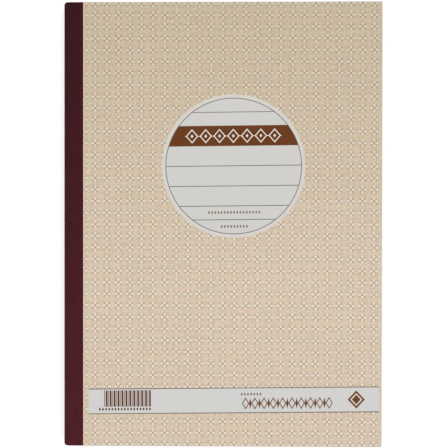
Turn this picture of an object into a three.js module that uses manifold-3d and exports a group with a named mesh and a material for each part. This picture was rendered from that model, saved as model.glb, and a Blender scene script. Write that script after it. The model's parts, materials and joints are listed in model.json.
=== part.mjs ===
// A triplicate manifold book of A4 size: fifty sets of three carbonless leaves, wire-stitched through
// the bound margin between two card covers, with a cloth tape wrapped round the spine.
// Millimetres. +X runs from the spine to the fore-edge, +Y to the head and +Z up out of the front cover.
// The origin is the middle of the footprint, on the underside.
import * as THREE from "three";
import { mergeVertices } from "three/addons/utils/BufferGeometryUtils.js";
import Module from "manifold-3d";

const wasm = await Module();
wasm.setup();

// The book
const BOOK_HEIGHT = 297; // head to tail
const BOOK_WIDTH = 212.3; // spine to fore-edge
const CORNER_RADIUS = 2; // plan radius of the two corners at the spine

// The covers
const FRONT_CARD = 0.6; // thickness of the front cover's card
const BACK_CARD = 0.8; // thickness of the back cover's board
const HINGE_FROM_SPINE = 13.4; // crease of the covers, and perforation line of the leaves
const HINGE_GAP = 0.3; // from the crease line to the card on each side of it
const HINGE_ABOVE = 0.05; // from the outer face of a cover to the line that it turns on

// The cloth tape
const TAPE = 0.2; // thickness of the cloth and its glue
const TAPE_FLANGE = 12.7; // width on each cover, measured from the spine
const SEAT = 0.02; // air between pieces that are glued or pressed together

// The leaves
const SETS = 50; // sets in a new book
const PLIES = ["triplicate", "duplicate", "original"]; // the leaves of a set, from the lowest up
const LEAF = 0.07; // thickness of one carbonless leaf
const LEAF_AIR = 0.01; // air between two leaves
const LEAF_INSET = 0.4; // the leaves stop this far inside the covers at head, tail and fore-edge
const SINGLE_SETS = 10; // sets 1 to 10 are separate pieces
const SETS_PER_BUNDLE = 5; // the sets below them are drawn in bundles

// The perforation of the first set
const PERFORATION_PITCH = 6; // from one tie to the next
const TIE_WIDTH = 1.2; // uncut paper between two cuts
const TIE_GAP = 0.05; // from the perforation line to the torn face of a tie
const CUT_HALF_WIDTH = 0.3; // half the width of the cuts

// The writing shield, a loose card that lies under the set in use
const SHIELD = 0.3; // thickness
const SHIELD_FROM_HINGE = 1.5; // from the perforation line to the shield
const SHIELD_INSET = 1.5; // it stops this far inside the covers
const SHIELD_CORNER = 4; // radius of its corners

// The wire staples
const STAPLES = ["head", "middle", "tail"];
const STAPLE_FROM_END = 38.5; // from the head and the tail to the middle of the nearest staple
const STAPLE_FROM_SPINE = 6.5; // line of the stitching
const CROWN_LENGTH = 13; // from leg to leg
const WIRE_RADIUS = 0.25;
const WIRE_BEND = 0.4; // radius of the wire's middle line at each bend
const CLINCH_LENGTH = 4.5; // each leg's turned-in end under the back cover
const HOLE_CLEARANCE = 0.1; // between the wire and the paper or card round it

// Fineness of the facets
const CURVE_STEPS = 4; // in a quarter turn of a corner, and a half turn of a hole
const WIRE_SIDES = 8;
const BEND_STEPS = 4;

// Levels, from the underside up
const leafPitch = LEAF + LEAF_AIR;
const setPitch = PLIES.length * leafPitch;
const padBottom = BACK_CARD + SEAT;
const padTop = padBottom + (SETS - 1) * setPitch;
const stripBottom = padTop + setPitch;
const stripTop = stripBottom + FRONT_CARD;
const tapeTop = stripTop + SEAT + TAPE;
const shieldBottom = padTop + SEAT;
const leavesBottom = shieldBottom + SHIELD + SEAT;
const panelBottom = leavesBottom + setPitch + LEAF_AIR;
const panelTop = panelBottom + FRONT_CARD;

// Plan places, measured from the spine
const halfHeight = BOOK_HEIGHT / 2;
const leafHalfHeight = halfHeight - LEAF_INSET;
const leafRight = BOOK_WIDTH - LEAF_INSET;
const padLeft = TAPE + SEAT;
const stripRight = HINGE_FROM_SPINE - HINGE_GAP;
const panelLeft = HINGE_FROM_SPINE + HINGE_GAP;
const holeRadius = WIRE_RADIUS + HOLE_CLEARANCE;
const stapleReach = halfHeight - STAPLE_FROM_END;

// Inner radii of the tape's two folds. The bound strips of the covers stop where a fold begins.
const frontFold = FRONT_CARD;
const backStrip = BACK_CARD - TAPE - SEAT;
const backFold = backStrip;

// Colours and surfaces
const FINISHES = {
  cloth: { color: 0x481f26, roughness: 0.85 },
  printedCard: { color: 0xd0c1ac, roughness: 0.6 },
  shieldCard: { color: 0xb9a98c, roughness: 0.8 },
  original: { color: 0xf5f4f0, roughness: 0.8 },
  duplicate: { color: 0xf2c6cd, roughness: 0.8 },
  triplicate: { color: 0xf4e596, roughness: 0.8 },
  block: { color: 0xece6dc, roughness: 0.85 },
  wire: { color: 0xb8bbbd, roughness: 0.35, metalness: 1 },
};

// A named piece with a material of its own.
function piece(name, geometry, finish) {
  const mesh = new THREE.Mesh(geometry, new THREE.MeshStandardMaterial(FINISHES[finish]));
  mesh.name = name;
  return mesh;
}

// One quarter turn of an outline about a centre, or a square corner there where the radius is 0.
function turnCorner(outline, x, y, radius, startAngle) {
  if (radius > 0) {
    outline.absarc(x, y, radius, startAngle, startAngle + Math.PI / 2, false);
  } else {
    outline.lineTo(x, y);
  }
}

// The ties of a perforated edge as outline points, from the tail up. Between the ties the edge stands
// back by the half width of the cuts.
function perforatedEdge(edgeX, tipX, reach) {
  const ties = Math.floor((2 * reach - PERFORATION_PITCH) / PERFORATION_PITCH);
  const points = [];
  for (let i = 0; i < ties; i++) {
    const y = (i - (ties - 1) / 2) * PERFORATION_PITCH;
    points.push([edgeX, y - TIE_WIDTH / 2]);
    points.push([tipX, y - TIE_WIDTH / 2]);
    points.push([tipX, y + TIE_WIDTH / 2]);
    points.push([edgeX, y + TIE_WIDTH / 2]);
  }
  return points;
}

// The anticlockwise outline of a card or leaf. spineRadius and foreRadius round its corners, and
// leftTip or rightTip, where given, is how far the ties of a perforated edge reach.
function sheetOutline({ left, right, reach, spineRadius = 0, foreRadius = 0, leftTip, rightTip }) {
  const outline = new THREE.Shape();
  outline.moveTo(left + spineRadius, -reach);
  turnCorner(outline, right - foreRadius, -reach + foreRadius, foreRadius, -Math.PI / 2);
  if (rightTip !== undefined) {
    for (const [x, y] of perforatedEdge(right, rightTip, reach)) outline.lineTo(x, y);
  }
  turnCorner(outline, right - foreRadius, reach - foreRadius, foreRadius, 0);
  turnCorner(outline, left + spineRadius, reach - spineRadius, spineRadius, Math.PI / 2);
  if (leftTip !== undefined) {
    for (const [x, y] of perforatedEdge(left, leftTip, reach).reverse()) outline.lineTo(x, y);
  }
  if (spineRadius > 0) {
    turnCorner(outline, left + spineRadius, -reach + spineRadius, spineRadius, Math.PI);
  }
  return outline;
}

// The y of each staple's middle, evenly from the one nearest the head to the one nearest the tail.
function stapleMiddles() {
  return STAPLES.map((_, i) => stapleReach * (1 - (2 * i) / (STAPLES.length - 1)));
}

// Round holes for the legs of all the staples.
function legHoles() {
  return stapleMiddles().flatMap((middle) =>
    [-1, 1].map((side) => {
      const y = middle + (side * CROWN_LENGTH) / 2;
      return new THREE.Path().absarc(STAPLE_FROM_SPINE, y, holeRadius, 0, 2 * Math.PI, true);
    }),
  );
}

// Slots with round ends, in which the crowns and the clinched legs lie pressed into the card.
function wireSlots() {
  return stapleMiddles().map((middle) => {
    const slot = new THREE.Path();
    slot.absarc(STAPLE_FROM_SPINE, middle - CROWN_LENGTH / 2, holeRadius, 0, -Math.PI, true);
    slot.absarc(STAPLE_FROM_SPINE, middle + CROWN_LENGTH / 2, holeRadius, Math.PI, 0, true);
    return slot;
  });
}

// A flat sheet of a given outline, standing from one level up.
function sheet(outline, bottom, thickness, holes = []) {
  outline.holes = holes;
  const geometry = new THREE.ExtrudeGeometry(outline, {
    depth: thickness,
    bevelEnabled: false,
    curveSegments: CURVE_STEPS,
  });
  return geometry.translate(0, 0, bottom);
}

// The cover that opens, on the fore-edge side of its crease.
function coverPanel(name, bottom, thickness) {
  const outline = sheetOutline({ left: panelLeft, right: BOOK_WIDTH, reach: halfHeight });
  return piece(name, sheet(outline, bottom, thickness), "printedCard");
}

// The strip of a cover that stays in the binding, slotted for the wire.
function coverStrip(name, bottom, thickness, foldRadius) {
  const outline = sheetOutline({
    left: TAPE + foldRadius,
    right: stripRight,
    reach: halfHeight,
    spineRadius: CORNER_RADIUS + foldRadius,
  });
  return piece(name, sheet(outline, bottom, thickness, wireSlots()), "printedCard");
}

// One or more whole sets as a single block, pierced by the staples.
function padBlock(name, firstSet, lastSet) {
  const bottom = padTop - (lastSet - 1) * setPitch;
  const thickness = (lastSet - firstSet + 1) * setPitch - LEAF_AIR;
  const outline = sheetOutline({
    left: padLeft,
    right: leafRight,
    reach: leafHalfHeight,
    spineRadius: CORNER_RADIUS - padLeft,
  });
  return piece(name, sheet(outline, bottom, thickness, legHoles()), "block");
}

// The part of a leaf that stays in the binding, with the ties of its perforation.
function stub(ply, index) {
  const outline = sheetOutline({
    left: padLeft,
    right: HINGE_FROM_SPINE - CUT_HALF_WIDTH,
    rightTip: HINGE_FROM_SPINE - TIE_GAP,
    reach: leafHalfHeight,
    spineRadius: CORNER_RADIUS - padLeft,
  });
  const geometry = sheet(outline, padTop + index * leafPitch, LEAF, legHoles());
  return piece(`set_01_${ply}_stub`, geometry, ply);
}

// The part of a leaf that turns and tears off.
function leaf(ply, index) {
  const outline = sheetOutline({
    left: HINGE_FROM_SPINE + CUT_HALF_WIDTH,
    leftTip: HINGE_FROM_SPINE + TIE_GAP,
    right: leafRight,
    reach: leafHalfHeight,
  });
  return piece(`set_01_${ply}_leaf`, sheet(outline, leavesBottom + index * leafPitch, LEAF), ply);
}

// The loose card under the set in use.
function writingShield() {
  const outline = sheetOutline({
    left: HINGE_FROM_SPINE + SHIELD_FROM_HINGE,
    right: BOOK_WIDTH - SHIELD_INSET,
    reach: halfHeight - SHIELD_INSET,
    spineRadius: SHIELD_CORNER,
    foreRadius: SHIELD_CORNER,
  });
  return piece("writing_shield", sheet(outline, shieldBottom, SHIELD), "shieldCard");
}

// A geometry as a solid that can be cut.
function toSolid(geometry) {
  const bare = geometry.clone();
  bare.deleteAttribute("normal");
  bare.deleteAttribute("uv");
  const merged = mergeVertices(bare, 1e-4);
  return new wasm.Manifold(
    new wasm.Mesh({
      numProp: 3,
      vertProperties: new Float32Array(merged.attributes.position.array),
      triVerts: new Uint32Array(merged.index.array),
    }),
  );
}

// A cut solid as a geometry.
function toGeometry(solid) {
  const mesh = solid.getMesh();
  const geometry = new THREE.BufferGeometry();
  geometry.setAttribute("position", new THREE.BufferAttribute(mesh.vertProperties, 3));
  geometry.setIndex(new THREE.BufferAttribute(mesh.triVerts, 1));
  geometry.computeVertexNormals();
  return geometry;
}

// The bound margin seen from the tail, filled: straight on the fore-edge side, and rounded by the
// tape's folds on the spine side. It runs the length of the book, and a little past both ends.
function marginBar(left, right, bottom, top, lowerFold, upperFold) {
  const length = BOOK_HEIGHT + 2;
  const section = new THREE.Shape();
  section.moveTo(right, bottom);
  section.lineTo(right, top);
  section.absarc(left + upperFold, top - upperFold, upperFold, Math.PI / 2, Math.PI, false);
  section.absarc(left + lowerFold, bottom + lowerFold, lowerFold, Math.PI, 1.5 * Math.PI, false);
  const geometry = new THREE.ExtrudeGeometry(section, {
    depth: length,
    bevelEnabled: false,
    curveSegments: CURVE_STEPS,
  });
  geometry.rotateX(Math.PI / 2);
  return geometry.translate(0, length / 2, 0);
}

// The cloth tape: a flange on each cover and a back that follows the folds and the rounded corners of
// the spine. The outer margin is cut to the book's outline, and the space of the pad is taken out.
function spineTape() {
  const past = 1; // the cutting shapes run this far past the book
  const plan = sheetOutline({
    left: 0,
    right: TAPE_FLANGE,
    reach: halfHeight,
    spineRadius: CORNER_RADIUS,
  });
  const inside = new THREE.Shape();
  inside.moveTo(CORNER_RADIUS, -halfHeight - past);
  inside.lineTo(TAPE_FLANGE + past, -halfHeight - past);
  inside.lineTo(TAPE_FLANGE + past, halfHeight + past);
  inside.lineTo(CORNER_RADIUS, halfHeight + past);
  const insideRadius = CORNER_RADIUS - TAPE;
  const centreY = halfHeight - CORNER_RADIUS;
  inside.absarc(CORNER_RADIUS, centreY, insideRadius, Math.PI / 2, Math.PI, false);
  inside.absarc(CORNER_RADIUS, -centreY, insideRadius, Math.PI, 1.5 * Math.PI, false);

  const outerBar = marginBar(0, TAPE_FLANGE, 0, tapeTop, backFold + TAPE, frontFold + TAPE);
  const outer = toSolid(outerBar).intersect(toSolid(sheet(plan, -past, tapeTop + 2 * past)));
  const innerTop = tapeTop - TAPE;
  const innerBar = marginBar(TAPE, TAPE_FLANGE + past, TAPE, innerTop, backFold, frontFold);
  const inner = toSolid(innerBar).intersect(toSolid(sheet(inside, -past, tapeTop + 2 * past)));
  return piece("spine_tape", toGeometry(outer.subtract(inner)), "cloth");
}

// The middle line of a staple's wire in the plane of its legs, as places with the wire's heading:
// up from one clinched end, along the crown and down to the other.
function wireLine() {
  const crownLevel = stripTop - SEAT - WIRE_RADIUS;
  const clinchLevel = TAPE + 2 * SEAT + WIRE_RADIUS;
  const leg = CROWN_LENGTH / 2;
  const places = [];
  const bend = (y, z, from, to) => {
    for (let i = 0; i <= BEND_STEPS; i++) {
      const heading = from + ((to - from) * i) / BEND_STEPS;
      const turn = Math.sign(to - from);
      const across = heading - (turn * Math.PI) / 2;
      places.push({
        y: y + WIRE_BEND * Math.cos(across),
        z: z + WIRE_BEND * Math.sin(across),
        heading,
      });
    }
  };
  places.push({ y: -leg + CLINCH_LENGTH, z: clinchLevel, heading: Math.PI });
  bend(-leg + WIRE_BEND, clinchLevel + WIRE_BEND, Math.PI, Math.PI / 2);
  bend(-leg + WIRE_BEND, crownLevel - WIRE_BEND, Math.PI / 2, 0);
  bend(leg - WIRE_BEND, crownLevel - WIRE_BEND, 0, -Math.PI / 2);
  bend(leg - WIRE_BEND, clinchLevel + WIRE_BEND, -Math.PI / 2, -Math.PI);
  places.push({ y: leg - CLINCH_LENGTH, z: clinchLevel, heading: -Math.PI });
  return places;
}

// A staple: a ring of points round each place of the wire's middle line, joined to the next ring, with
// flat cut ends.
function staple(name, middle) {
  const places = wireLine();
  const positions = [];
  for (const { y, z, heading } of places) {
    for (let i = 0; i < WIRE_SIDES; i++) {
      const angle = ((i + 0.5) * 2 * Math.PI) / WIRE_SIDES;
      const out = WIRE_RADIUS * Math.cos(angle);
      const side = WIRE_RADIUS * Math.sin(angle);
      positions.push(STAPLE_FROM_SPINE + side);
      positions.push(middle + y - out * Math.sin(heading));
      positions.push(z + out * Math.cos(heading));
    }
  }
  const faces = [];
  for (let ring = 0; ring < places.length - 1; ring++) {
    for (let i = 0; i < WIRE_SIDES; i++) {
      const a = ring * WIRE_SIDES + i;
      const b = ring * WIRE_SIDES + ((i + 1) % WIRE_SIDES);
      faces.push(a, b, b + WIRE_SIDES);
      faces.push(a, b + WIRE_SIDES, a + WIRE_SIDES);
    }
  }
  const last = (places.length - 1) * WIRE_SIDES;
  for (let i = 1; i < WIRE_SIDES - 1; i++) {
    faces.push(0, i + 1, i);
    faces.push(last, last + i, last + i + 1);
  }
  const geometry = new THREE.BufferGeometry();
  geometry.setAttribute("position", new THREE.Float32BufferAttribute(positions, 3));
  geometry.setIndex(faces);
  geometry.computeVertexNormals();
  return piece(name, geometry, "wire");
}

// The binding: everything that stays in the margin, and the pad below the set in use.
function binding() {
  const group = new THREE.Group();
  group.add(spineTape());
  group.add(coverStrip("back_cover_bound_strip", TAPE + SEAT, backStrip, backFold));
  group.add(coverStrip("front_cover_bound_strip", stripBottom, FRONT_CARD, frontFold));
  PLIES.forEach((ply, index) => group.add(stub(ply, index)));
  const number = (set) => String(set).padStart(2, "0");
  for (let set = 2; set <= SINGLE_SETS; set++) {
    group.add(padBlock(`set_${number(set)}`, set, set));
  }
  for (let first = SINGLE_SETS + 1; first <= SETS; first += SETS_PER_BUNDLE) {
    const lastSet = Math.min(first + SETS_PER_BUNDLE - 1, SETS);
    group.add(padBlock(`sets_${number(first)}_${number(lastSet)}`, first, lastSet));
  }
  stapleMiddles().forEach((middle, i) => group.add(staple(`staple_${STAPLES[i]}`, middle)));
  return group;
}

// What turns or slides on the binding.
function movingSheets() {
  const group = new THREE.Group();
  group.add(coverPanel("back_cover", 0, BACK_CARD));
  group.add(coverPanel("front_cover", panelBottom, FRONT_CARD));
  PLIES.forEach((ply, index) => group.add(leaf(ply, index)));
  group.add(writingShield());
  return group;
}

const book = new THREE.Group();
book.name = "manifold_book";
book.add(binding(), movingSheets());
book.position.x = -BOOK_WIDTH / 2;

// The lines that the covers turn on, in the frame of the book, for whoever joints the pieces.
book.userData.hinges = {
  front: [HINGE_FROM_SPINE - BOOK_WIDTH / 2, 0, panelTop + HINGE_ABOVE],
  back: [HINGE_FROM_SPINE - BOOK_WIDTH / 2, 0, -HINGE_ABOVE],
};

export default book;
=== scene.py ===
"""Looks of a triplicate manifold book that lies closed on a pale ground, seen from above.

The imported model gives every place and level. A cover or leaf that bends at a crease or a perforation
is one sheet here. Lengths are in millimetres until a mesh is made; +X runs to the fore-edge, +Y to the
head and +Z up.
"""

import json
import logging
import math
from dataclasses import dataclass, field, replace
from enum import Enum
from typing import Any, ClassVar, Iterator

import bpy
import numpy as np
from mathutils import Matrix, Quaternion, Vector


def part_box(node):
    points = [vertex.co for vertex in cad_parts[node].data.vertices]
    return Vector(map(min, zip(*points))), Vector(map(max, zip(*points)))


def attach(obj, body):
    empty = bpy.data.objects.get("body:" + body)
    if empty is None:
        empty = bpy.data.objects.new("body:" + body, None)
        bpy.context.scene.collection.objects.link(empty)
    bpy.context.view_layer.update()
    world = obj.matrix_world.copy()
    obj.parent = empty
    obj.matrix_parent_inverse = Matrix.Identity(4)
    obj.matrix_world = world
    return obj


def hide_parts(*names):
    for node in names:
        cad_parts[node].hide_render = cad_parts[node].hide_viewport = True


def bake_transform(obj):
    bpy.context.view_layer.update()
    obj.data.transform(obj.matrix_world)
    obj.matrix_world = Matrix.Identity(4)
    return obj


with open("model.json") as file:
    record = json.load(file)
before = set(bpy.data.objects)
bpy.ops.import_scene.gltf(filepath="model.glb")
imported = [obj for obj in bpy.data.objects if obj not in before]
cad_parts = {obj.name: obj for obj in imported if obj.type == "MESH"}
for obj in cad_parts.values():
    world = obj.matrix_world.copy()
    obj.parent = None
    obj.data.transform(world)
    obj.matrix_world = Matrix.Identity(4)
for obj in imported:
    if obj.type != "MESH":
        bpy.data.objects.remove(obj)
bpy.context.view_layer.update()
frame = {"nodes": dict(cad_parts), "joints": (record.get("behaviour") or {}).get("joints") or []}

log = logging.getLogger("manifold_book")

MM = 0.001
FLAT = "flat_place"  # attribute: where a point lies on its sheet when the sheet is flat, in mm
ENDLESS = 1e4  # longer than any piece, in mm
SEED = 7  # of every random draw
FACTOR, BELOW, ABOVE = 0, 6, 7  # inputs of a colour mix
MIX = {"out": 2, "data_type": "RGBA"}  # its output and type
CORNER_REACH = 4  # the columns of a sheet give way to a rounded corner over this many radii
CORNER_ROWS = 7  # the rows that draw one rounded corner
SHARP_DEGREES = 35  # edges that turn by more are left sharp
PAPER = 0.07  # thickness of a leaf, in mm
PAPER_CORNER = 1.78  # radius of a leaf's corners at the spine, in mm

Tree = bpy.types.NodeTree
Socket = bpy.types.NodeSocket
Material = bpy.types.Material
Piece = bpy.types.Object
Span = tuple[float, float]
Ramp = tuple[float, float, float, float]  # two values, and what they become


class Ply(Enum):
    """The three leaves of a set, from the top down."""

    ORIGINAL = "original"
    DUPLICATE = "duplicate"
    TRIPLICATE = "triplicate"


class Side(Enum):
    """The two covers."""

    FRONT = "front_cover"
    BACK = "back_cover"


class Region(Enum):
    """How shapes make one: what lies in any of them, or what lies in all."""

    ANY = "MINIMUM"
    ALL = "MAXIMUM"


class Blend(Enum):
    """How a colour is laid over another: it covers what is below, or stains it."""

    COVER = "MIX"
    STAIN = "MULTIPLY"


@dataclass(frozen=True)
class Grain:
    """Smooth random blotches, as clouds, fibres or tooth have them.

    A blotch is size mm wide, times the stretch along x and y, and detail is how many finer layers lie
    over it. Shade is the largest share by which it lightens or darkens a colour, and depth is the
    height of its relief in mm.
    """

    size: float
    detail: float = 2.0
    stretch: Span = (1.0, 1.0)
    shade: float = 0.0
    depth: float = 0.0


def linear(hex_colour: str) -> tuple[float, float, float, float]:
    """Turn an sRGB colour into the linear one that shaders work in.

    Each channel c from 0 to 1 becomes c / 12.92 up to 0.04045, and ((c + 0.055) / 1.055) ** 2.4 above.

    Args:
        hex_colour: the colour as "#RRGGBB".

    Returns:
        Red, green, blue and an alpha of 1.
    """
    channels = [int(hex_colour[i : i + 2], 16) / 255 for i in (1, 3, 5)]
    red, green, blue = (c / 12.92 if c <= 0.04045 else ((c + 0.055) / 1.055) ** 2.4 for c in channels)
    return red, green, blue, 1.0


def add_node(tree: Tree, kind: str, inputs: dict[Any, Any], out: int | str = 0, **settings: Any) -> Any:
    """Add one shader node with its settings, and set or link its inputs.

    Args:
        tree: the node tree that gets the node.
        kind: the node's type without the leading ShaderNode.
        inputs: input index or name to a value, a hex colour, or the socket that feeds it.
        out: which output is given back.
        **settings: properties of the node, such as operation.

    Returns:
        The chosen output socket, or None from a node that has none.
    """
    made = tree.nodes.new("ShaderNode" + kind)
    for name, value in settings.items():
        setattr(made, name, value)
    for key, value in inputs.items():
        if isinstance(value, Socket):
            tree.links.new(value, made.inputs[key])
        else:
            made.inputs[key].default_value = linear(value) if isinstance(value, str) else value
    return made.outputs[out] if made.outputs else None


def ends(ramp: Ramp) -> dict[int, float]:
    """The inputs of a node that turns the first two values of a ramp into the last two."""
    return dict(enumerate(ramp, 1))


def layered(
    tree: Tree,
    ground: Socket | str,
    *layers: tuple[Socket | str, Socket | float],
    blend: Blend = Blend.COVER,
) -> Socket:
    """Lay colours over a ground in turn.

    Each leaves what is below * (1 - mask) + laid * mask, where laid is the colour itself, or for a
    stain the colour times what is below.

    Args:
        tree: the node tree.
        ground: the lowest colour.
        *layers: each a colour and its mask from 0 to 1.
        blend: whether the colours cover or stain.

    Returns:
        The colour that shows.
    """
    for colour, mask in layers:
        inputs = {FACTOR: mask, BELOW: ground, ABOVE: colour}
        ground = add_node(tree, "Mix", inputs, **MIX, blend_type=blend.value)
    return ground


def relief(tree: Tree, *layers: tuple[Socket, float]) -> Socket:
    """Surface normals of reliefs that lie over one another.

    Args:
        tree: the node tree.
        *layers: each a height from 0 to 1 and how deep 1 is in mm, the coarsest first.

    Returns:
        The normals.
    """
    below = {}
    for height, depth in layers:
        inputs = {"Height": height, "Distance": depth * MM, "Strength": 1.0, **below}
        below = {"Normal": add_node(tree, "Bump", inputs)}
    return below["Normal"]


def empty_tree(owner: Material | bpy.types.World) -> Tree:
    """Give a material or the world a node tree with nothing in it.

    Args:
        owner: the material or world.

    Returns:
        Its node tree.
    """
    owner.use_nodes = True
    owner.node_tree.nodes.clear()
    return owner.node_tree


@dataclass
class Pen:
    """Draws shapes over a place given in mm.

    A shape is a signed distance in mm, negative inside. Its mask is 1 inside and 0 outside, with a soft
    edge of a few hundredths of a millimetre, as ink has on paper.
    """

    tree: Tree
    place: Socket
    softness: float = 0.06

    def moved(self, centre: Span, degrees: float = 0.0, stretch: Span = (1.0, 1.0)) -> "Pen":
        """The same pen in axes centred on a point, turned about it and stretched.

        Args:
            centre: the point.
            degrees: the turn, anticlockwise.
            stretch: how much longer a unit is along each axis.

        Returns:
            A pen whose place is 0, 0 at the point.
        """
        settings = {1: (*centre, 0), 2: (0, 0, math.radians(degrees)), 3: (*stretch, 1)}
        moved = add_node(self.tree, "Mapping", {0: self.place, **settings}, vector_type="TEXTURE")
        return replace(self, place=moved)

    def repeated(self, across: float = ENDLESS, up: float = ENDLESS) -> "Pen":
        """The same pen on a grid: each coordinate is wrapped to half a pitch either side of 0.

        Args:
            across: the grid's pitch along x.
            up: its pitch along y.

        Returns:
            A pen whose place is 0, 0 at every crossing of the grid.
        """
        half = (across / 2, up / 2, ENDLESS)
        settings = {0: self.place, 1: half, 2: tuple(-h for h in half)}
        return replace(self, place=add_node(self.tree, "VectorMath", settings, operation="WRAP"))

    def box(self, left: float, right: float, low: float, high: float) -> Socket:
        """A rectangle: the larger of |x - middle| and |y - middle|, each less half its size.

        Args:
            left: lowest x.
            right: highest x.
            low: lowest y.
            high: highest y.

        Returns:
            The shape.
        """
        middle, half = ((left + right) / 2, (low + high) / 2, 0), ((right - left) / 2, (high - low) / 2, 0)
        away = add_node(self.tree, "VectorMath", {0: self.place, 1: middle}, operation="SUBTRACT")
        away = add_node(self.tree, "VectorMath", {0: away}, operation="ABSOLUTE")
        away = add_node(self.tree, "VectorMath", {0: away, 1: half}, operation="SUBTRACT")
        parts = add_node(self.tree, "SeparateXYZ", {0: away}).node.outputs
        return self.combined(Region.ALL, parts[0], parts[1])

    def disc(self, radius: float) -> Socket:
        """A disc about 0, 0: the distance from there less the radius.

        Args:
            radius: the radius.

        Returns:
            The shape.
        """
        flat = add_node(self.tree, "VectorMath", {0: self.place, 1: (1, 1, 0)}, operation="MULTIPLY")
        length = add_node(self.tree, "VectorMath", {0: flat}, out=1, operation="LENGTH")
        return add_node(self.tree, "Math", {0: length, 1: radius}, operation="SUBTRACT")

    def lozenge(self, half_width: float, half_height: float) -> Socket:
        """A lozenge about 0, 0: |x| / half width + |y| / half height - 1, scaled to mm.

        Args:
            half_width: from its middle to its side points.
            half_height: from its middle to its upper point.

        Returns:
            The shape.
        """
        slopes = (1 / half_width, 1 / half_height, 0)
        away = add_node(self.tree, "VectorMath", {0: self.place}, operation="ABSOLUTE")
        total = add_node(self.tree, "VectorMath", {0: away, 1: slopes}, out=1, operation="DOT_PRODUCT")
        scale = 1 / math.hypot(*slopes)
        return add_node(self.tree, "Math", {0: total, 1: scale, 2: -scale}, operation="MULTIPLY_ADD")

    def outline(self, shape: Socket, width: float) -> Socket:
        """A line along a shape's edge: |distance| less half the line's width.

        Args:
            shape: the shape.
            width: the line's width.

        Returns:
            The line, as a shape.
        """
        away = add_node(self.tree, "Math", {0: shape}, operation="ABSOLUTE")
        return add_node(self.tree, "Math", {0: away, 1: width / 2}, operation="SUBTRACT")

    def rule(self, y: float, width: float) -> Socket:
        """A level line through y, endless in x."""
        return self.box(-ENDLESS, ENDLESS, y - width / 2, y + width / 2)

    def combined(self, region: Region, *shapes: Socket) -> Socket:
        """Make several shapes one: the smallest or largest of their distances.

        Args:
            region: which part of them it is.
            *shapes: the shapes.

        Returns:
            The shape.
        """
        whole = shapes[0]
        for shape in shapes[1:]:
            whole = add_node(self.tree, "Math", {0: whole, 1: shape}, operation=region.value)
        return whole

    def mask(self, shape: Socket, strength: Socket | float = 1.0) -> Socket:
        """The mask of a shape, which reaches the given strength inside it."""
        edge = {1: -self.softness, 2: self.softness}
        return add_node(self.tree, "MapRange", {0: shape, **edge, 3: strength, 4: 0.0})

    def printed(self, ground: Socket | str, *layers: tuple[Socket | str, Socket]) -> Socket:
        """Print shapes over a ground in turn, each given as its ink and the shape."""
        return layered(self.tree, ground, *((ink, self.mask(shape)) for ink, shape in layers))

    def speckle(self, grain: Grain) -> Socket:
        """Smooth random values round 0.5.

        Args:
            grain: the size, detail and stretch of the blotches.

        Returns:
            The value at each point.
        """
        size, (across, up) = grain.size, grain.stretch
        scale = (1 / (size * across), 1 / (size * up), 1 / size)
        scaled = add_node(self.tree, "VectorMath", {0: self.place, 1: scale}, operation="MULTIPLY")
        return add_node(self.tree, "TexNoise", {"Vector": scaled, "Scale": 1.0, "Detail": grain.detail})

    def shaded(self, colour: Socket | str, grain: Grain) -> Socket:
        """Lighten and darken a colour by a grain: colour * (1 + shade * 2 * (value - 0.5)).

        Args:
            colour: the colour.
            grain: the blotches and their shade.

        Returns:
            The changed colour.
        """
        ramp = (0.0, 1.0, 1 - grain.shade, 1 + grain.shade)
        factor = add_node(self.tree, "MapRange", {0: self.speckle(grain), **ends(ramp)}, clamp=False)
        return layered(self.tree, colour, (factor, 1.0), blend=Blend.STAIN)

    def raised(self, *grains: Grain) -> Socket:
        """Surface normals of grains that lie over one another, the coarsest first."""
        return relief(self.tree, *((self.speckle(grain), grain.depth) for grain in grains))


def millimetres(node: str) -> np.ndarray:
    """The lowest and highest corners of a CAD node, in mm."""
    return np.array([tuple(corner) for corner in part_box(node)]) / MM


@dataclass(frozen=True)
class Levels:
    """Where things lie in the closed book, in mm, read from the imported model."""

    spine: float
    fore: float
    head: float
    flange: float
    crease: float
    shield: float

    @classmethod
    def measured(cls) -> "Levels":
        """Read the levels from the frame.

        Returns:
            x of the spine and fore-edge, y of the head, and x of the edge of the tape, the crease and
            the near edge of the writing shield.
        """
        low, high = millimetres("spine_tape")
        fore, shield = millimetres("front_cover")[1][0], millimetres("writing_shield")[0][0]
        hinge = next(joint for joint in frame["joints"] if joint["name"] == "front_cover_hinge")
        return cls(low[0], fore, high[1], high[0], hinge["pos_m"][0] / MM, shield)


def smooth(t: np.ndarray) -> np.ndarray:
    """A step from 0 to 1 with level ends: t * t * (3 - 2 t), with t held between 0 and 1."""
    held = np.clip(t, 0, 1)
    return held * held * (3 - 2 * held)


def merged(*runs: np.ndarray, decimals: int = 5) -> np.ndarray:
    """Join runs of numbers into one that rises.

    Args:
        *runs: the numbers, in mm.
        decimals: numbers that agree to so many decimals count as one.

    Returns:
        The numbers, each once.
    """
    return np.unique(np.concatenate(runs).round(decimals))


def steps(*stops: float, pitch: float) -> np.ndarray:
    """Numbers from the first stop to the last through every stop, evenly between stops.

    Args:
        *stops: rising numbers.
        pitch: the widest step.

    Returns:
        The numbers, each once.
    """
    runs = [np.linspace(a, b, max(2, math.ceil((b - a) / pitch) + 1)) for a, b in zip(stops, stops[1:])]
    return merged(*runs, decimals=6)


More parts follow.
